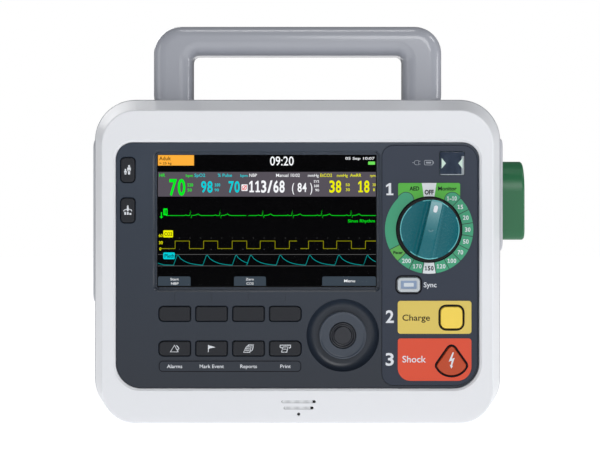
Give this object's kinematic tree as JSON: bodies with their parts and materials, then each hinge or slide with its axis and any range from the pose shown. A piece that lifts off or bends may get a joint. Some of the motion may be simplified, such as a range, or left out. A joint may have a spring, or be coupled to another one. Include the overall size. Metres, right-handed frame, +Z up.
{
  "type": "defibrillator",
  "caption": "Portable monitor and defibrillator with a display, keys, an energy selector knob, a carrying handle, a therapy port, a strip printer and a battery.",
  "frame": {"origin": "middle of the footprint of the whole object, on the surface that it stands on", "axes": "+X to the right seen from the front, +Y to the back, +Z up; the display faces -Y"},
  "size_m": [0.315, 0.205, 0.2854],
  "materials": {
    "white_casing": "fine-textured white moulding",
    "grey_casing": "fine-textured light grey moulding",
    "seal_rubber": "black rubber",
    "screw_steel": "zinc-plated steel",
    "foot_rubber": "matt rubber",
    "insert_brass": "turned brass",
    "handle_grip": "grey soft-touch moulding",
    "slate_panel": "slate blue-grey, eggshell",
    "display_glass": "hard-coated cover glass",
    "display_back": "black display frame",
    "therapy_slate": "slate blue-grey, eggshell",
    "dial_green": "printed polycarbonate",
    "charge_yellow": "printed polycarbonate",
    "shock_orange": "printed polycarbonate",
    "window_glass": "clear smoked polycarbonate",
    "circuit_board": "green solder mask",
    "nav_grey": "slate, satin",
    "nav_black": "black, satin",
    "component_black": "black moulding",
    "knob_teal": "teal, satin gloss",
    "shaft_steel": "ground steel",
    "chassis_sheet": "pressed sheet",
    "capacitor_can": "sleeved can",
    "supply_can": "plain metal case",
    "port_green": "dark green moulding",
    "sensor_grey": "mid grey moulding",
    "socket_green": "green moulding",
    "socket_blue": "blue moulding",
    "socket_metal": "nickel plate",
    "socket_white": "white moulding",
    "paper": "thermal paper",
    "platen_rubber": "ground rubber",
    "latch_grey": "ribbed grey moulding",
    "battery_black": "dark grey moulding",
    "post_brass": "nickel-plated brass",
    "key_black": "dark slate key cap",
    "sync_grey": "light grey key cap",
    "button_yellow": "yellow key cap",
    "button_orange": "orange-red key cap"
  },
  "bodies": {
    "root": {"front_bezel": "white_casing", "rear_case": "grey_casing", "case_seal": "seal_rubber", "casing_screws": "screw_steel", "rubber_feet": "foot_rubber", "stand_inserts": "insert_brass", "carry_handle": "handle_grip", "control_panel": "slate_panel", "display_lens": "display_glass", "display_module": "display_back", "therapy_panel": "therapy_slate", "dial_scale": "dial_green", "charge_plate": "charge_yellow", "shock_plate": "shock_orange", "ready_window": "window_glass", "keypad_board": "circuit_board", "nav_encoder": "component_black", "knob_seal": "seal_rubber", "rotary_switch": "component_black", "speaker": "component_black", "chassis": "chassis_sheet", "main_board": "circuit_board", "high_voltage_board": "circuit_board", "storage_capacitor": "capacitor_can", "power_supply": "supply_can", "cuff_pump": "supply_can", "therapy_port": "port_green", "port_contacts": "component_black", "sensor_panel": "sensor_grey", "ecg_socket": "socket_green", "oximetry_socket": "socket_blue", "cuff_socket": "socket_metal", "gas_socket": "socket_white", "printer_frame": "component_black", "print_head": "component_black", "mains_inlet": "component_black", "earth_post": "post_brass"},
    "therapy_knob": {"therapy_knob": "knob_teal", "knob_shaft": "shaft_steel"},
    "nav_knob": {"nav_knob": "nav_grey"},
    "nav_button": {"nav_button": "nav_black"},
    "printer_door": {"printer_door": "grey_casing"},
    "platen_roller": {"platen_roller": "platen_rubber"},
    "paper_roll": {"paper_roll": "paper"},
    "door_latch": {"door_latch": "latch_grey"},
    "battery_pack": {"battery_pack": "battery_black"},
    "battery_latch": {"battery_latch": "latch_grey"},
    "soft_key_1": {"soft_key_1": "key_black"},
    "soft_key_2": {"soft_key_2": "key_black"},
    "soft_key_3": {"soft_key_3": "key_black"},
    "soft_key_4": {"soft_key_4": "key_black"},
    "alarm_key": {"alarm_key": "key_black"},
    "event_key": {"event_key": "key_black"},
    "report_key": {"report_key": "key_black"},
    "print_key": {"print_key": "key_black"},
    "patient_key": {"patient_key": "key_black"},
    "lead_key": {"lead_key": "key_black"},
    "sync_button": {"sync_button": "sync_grey"},
    "charge_button": {"charge_button": "button_yellow"},
    "shock_button": {"shock_button": "button_orange"}
  },
  "joints": [
    {"name": "energy_select", "type": "hinge", "parent": "root", "child": "therapy_knob", "pos_m": [0.0843, -0.085, 0.1393], "axis": [0, 1, 0], "range_deg": [-31, 221]},
    {"name": "nav_turn", "type": "hinge", "parent": "root", "child": "nav_knob", "pos_m": [0.0241, -0.0835, 0.0655], "axis": [0, 1, 0], "continuous": true},
    {"name": "nav_press", "type": "slide", "parent": "root", "child": "nav_button", "axis": [0, 1, 0], "range_m": [0, 0.001], "stiffness_N_per_m": 400},
    {"name": "soft_key_1_press", "type": "slide", "parent": "root", "child": "soft_key_1", "axis": [0, 1, 0], "range_m": [0, 0.001], "stiffness_N_per_m": 400},
    {"name": "soft_key_2_press", "type": "slide", "parent": "root", "child": "soft_key_2", "axis": [0, 1, 0], "range_m": [0, 0.001], "stiffness_N_per_m": 400},
    {"name": "soft_key_3_press", "type": "slide", "parent": "root", "child": "soft_key_3", "axis": [0, 1, 0], "range_m": [0, 0.001], "stiffness_N_per_m": 400},
    {"name": "soft_key_4_press", "type": "slide", "parent": "root", "child": "soft_key_4", "axis": [0, 1, 0], "range_m": [0, 0.001], "stiffness_N_per_m": 400},
    {"name": "alarm_key_press", "type": "slide", "parent": "root", "child": "alarm_key", "axis": [0, 1, 0], "range_m": [0, 0.001], "stiffness_N_per_m": 400},
    {"name": "event_key_press", "type": "slide", "parent": "root", "child": "event_key", "axis": [0, 1, 0], "range_m": [0, 0.001], "stiffness_N_per_m": 400},
    {"name": "report_key_press", "type": "slide", "parent": "root", "child": "report_key", "axis": [0, 1, 0], "range_m": [0, 0.001], "stiffness_N_per_m": 400},
    {"name": "print_key_press", "type": "slide", "parent": "root", "child": "print_key", "axis": [0, 1, 0], "range_m": [0, 0.001], "stiffness_N_per_m": 400},
    {"name": "patient_key_press", "type": "slide", "parent": "root", "child": "patient_key", "axis": [0, 1, 0], "range_m": [0, 0.001], "stiffness_N_per_m": 400},
    {"name": "lead_key_press", "type": "slide", "parent": "root", "child": "lead_key", "axis": [0, 1, 0], "range_m": [0, 0.001], "stiffness_N_per_m": 400},
    {"name": "sync_press", "type": "slide", "parent": "root", "child": "sync_button", "axis": [0, 1, 0], "range_m": [0, 0.001], "stiffness_N_per_m": 400},
    {"name": "charge_press", "type": "slide", "parent": "root", "child": "charge_button", "axis": [0, 1, 0], "range_m": [0, 0.001], "stiffness_N_per_m": 400},
    {"name": "shock_press", "type": "slide", "parent": "root", "child": "shock_button", "axis": [0, 1, 0], "range_m": [0, 0.001], "stiffness_N_per_m": 400},
    {"name": "printer_door_swing", "type": "hinge", "parent": "root", "child": "printer_door", "pos_m": [0.1355, 0.0385, 0.031], "axis": [0, 1, 0], "range_deg": [0, 90]},
    {"name": "platen_spin", "type": "hinge", "parent": "printer_door", "child": "platen_roller", "pos_m": [0.1285, 0.0385, 0.097], "axis": [0, 1, 0], "continuous": true},
    {"name": "paper_spin", "type": "hinge", "parent": "root", "child": "paper_roll", "pos_m": [0.1065, 0.0385, 0.06], "axis": [0, 1, 0], "continuous": true},
    {"name": "door_latch_slide", "type": "slide", "parent": "printer_door", "child": "door_latch", "axis": [0, 0, -1], "range_m": [0, 0.003], "stiffness_N_per_m": 400},
    {"name": "battery_slide", "type": "slide", "parent": "root", "child": "battery_pack", "axis": [0, 1, 0], "range_m": [0, 0.095]},
    {"name": "battery_latch_slide", "type": "slide", "parent": "root", "child": "battery_latch", "axis": [0, 0, 1], "range_m": [0, 0.004], "stiffness_N_per_m": 400}
  ]
}
